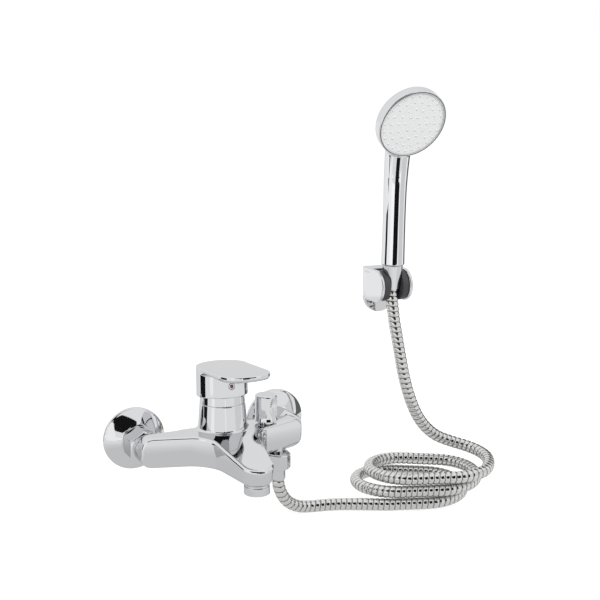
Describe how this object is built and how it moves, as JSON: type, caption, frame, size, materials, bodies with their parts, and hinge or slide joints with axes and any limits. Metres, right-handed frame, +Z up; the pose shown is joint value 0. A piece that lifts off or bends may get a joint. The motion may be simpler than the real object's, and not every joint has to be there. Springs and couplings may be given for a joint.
{
  "type": "bath shower mixer",
  "caption": "Wall-mounted lever bath shower mixer with a flat spout, pull-up diverter, ribbed hose, hand shower and tilting wall bracket.",
  "frame": {"origin": "on the finished wall's face, midway between the two inlet axes", "axes": "+X to the right seen from the front, +Y into the wall, +Z up"},
  "size_m": [0.3976, 0.17, 0.4258],
  "materials": {
    "chromed_brass": "bright chrome plating",
    "raw_brass": "machined",
    "seal_rubber": "moulded",
    "white_plastic": "moulded",
    "disc_ceramic": "lapped",
    "dark_plastic": "moulded",
    "steel": "plain",
    "plated_plastic": "bright chrome plating on plastic",
    "hose_steel": "bright ribbed steel",
    "spray_face": "satin light grey",
    "nozzle_rubber": "soft white",
    "index_red": "red and blue halves"
  },
  "bodies": {
    "mixer": {"body": "chromed_brass", "left_escutcheon": "chromed_brass", "left_eccentric_union": "raw_brass", "left_union_nut": "chromed_brass", "left_union_seal": "seal_rubber", "left_inlet_tail": "chromed_brass", "right_escutcheon": "chromed_brass", "right_eccentric_union": "raw_brass", "right_union_nut": "chromed_brass", "right_union_seal": "seal_rubber", "right_inlet_tail": "chromed_brass", "cartridge_housing": "white_plastic", "cartridge_base_seals": "seal_rubber", "fixed_disc": "disc_ceramic", "retaining_nut": "raw_brass", "cap_ring": "chromed_brass", "aerator_housing": "chromed_brass", "aerator_insert": "white_plastic", "aerator_washer": "seal_rubber", "diverter_bush": "chromed_brass", "diverter_o_rings": "seal_rubber", "diverter_spring": "steel", "outlet_nipple": "chromed_brass", "check_valve": "white_plastic", "outlet_washer": "seal_rubber", "hose_nut": "chromed_brass", "hose_ferrule": "chromed_brass", "shower_hose": "hose_steel", "bracket_housing": "plated_plastic", "bracket_pivots": "steel", "wall_screws": "steel", "wall_plugs": "white_plastic"},
    "rotor": {"cartridge_rotor": "white_plastic", "lift_pin": "steel"},
    "lever": {"lever_stem": "raw_brass", "lever": "chromed_brass", "lever_screw": "steel", "index_plug": "index_red"},
    "disc": {"moving_disc": "disc_ceramic", "disc_carrier": "dark_plastic"},
    "diverter": {"diverter_stem": "raw_brass", "diverter_plunger": "seal_rubber", "diverter_knob": "chromed_brass"},
    "barrel": {"bracket_barrel": "dark_plastic"},
    "hose_end": {"conical_nut": "chromed_brass", "handset_washer": "seal_rubber"},
    "handset": {"handset_shell": "plated_plastic", "handset_inlet": "white_plastic", "spray_plate": "spray_face", "spray_trim_ring": "plated_plastic", "spray_nozzles": "nozzle_rubber"}
  },
  "joints": [
    {"name": "lever_swivel", "type": "hinge", "parent": "mixer", "child": "rotor", "pos_m": [0, -0.0475, 0.03], "axis": [0, 0, 1], "range_deg": [-45, 45]},
    {"name": "lever_lift", "type": "hinge", "parent": "rotor", "child": "lever", "pos_m": [0, -0.0475, 0.03], "axis": [-1, 0, 0], "range_deg": [0, 22]},
    {"name": "disc_slide", "type": "slide", "parent": "rotor", "child": "disc", "axis": [0, -1, 0], "range_m": [0, 0.0031]},
    {"name": "diverter_pull", "type": "slide", "parent": "mixer", "child": "diverter", "axis": [0, 0, 1], "range_m": [0, 0.0055], "stiffness_N_per_m": 150, "springref_m": -0.008, "deforming": ["diverter_spring"]},
    {"name": "bracket_tilt", "type": "hinge", "parent": "mixer", "child": "barrel", "pos_m": [0.196, -0.025, 0.1336], "axis": [1, 0, 0], "range_deg": [-8, 25], "deforming": ["shower_hose"]},
    {"name": "handset_lift", "type": "slide", "parent": "barrel", "child": "hose_end", "axis": [0, -0.0314, 0.9995], "range_m": [0, 0.025], "deforming": ["shower_hose"]},
    {"name": "handset_turn", "type": "hinge", "parent": "hose_end", "child": "handset", "pos_m": [0.196, -0.0304, 0.156], "axis": [0, -0.0314, 0.9995], "range_deg": [-60, 60]}
  ],
  "couplings": [
    {"joint": "disc_slide", "follows": "lever_lift", "m_per_rad": 0.008}
  ]
}
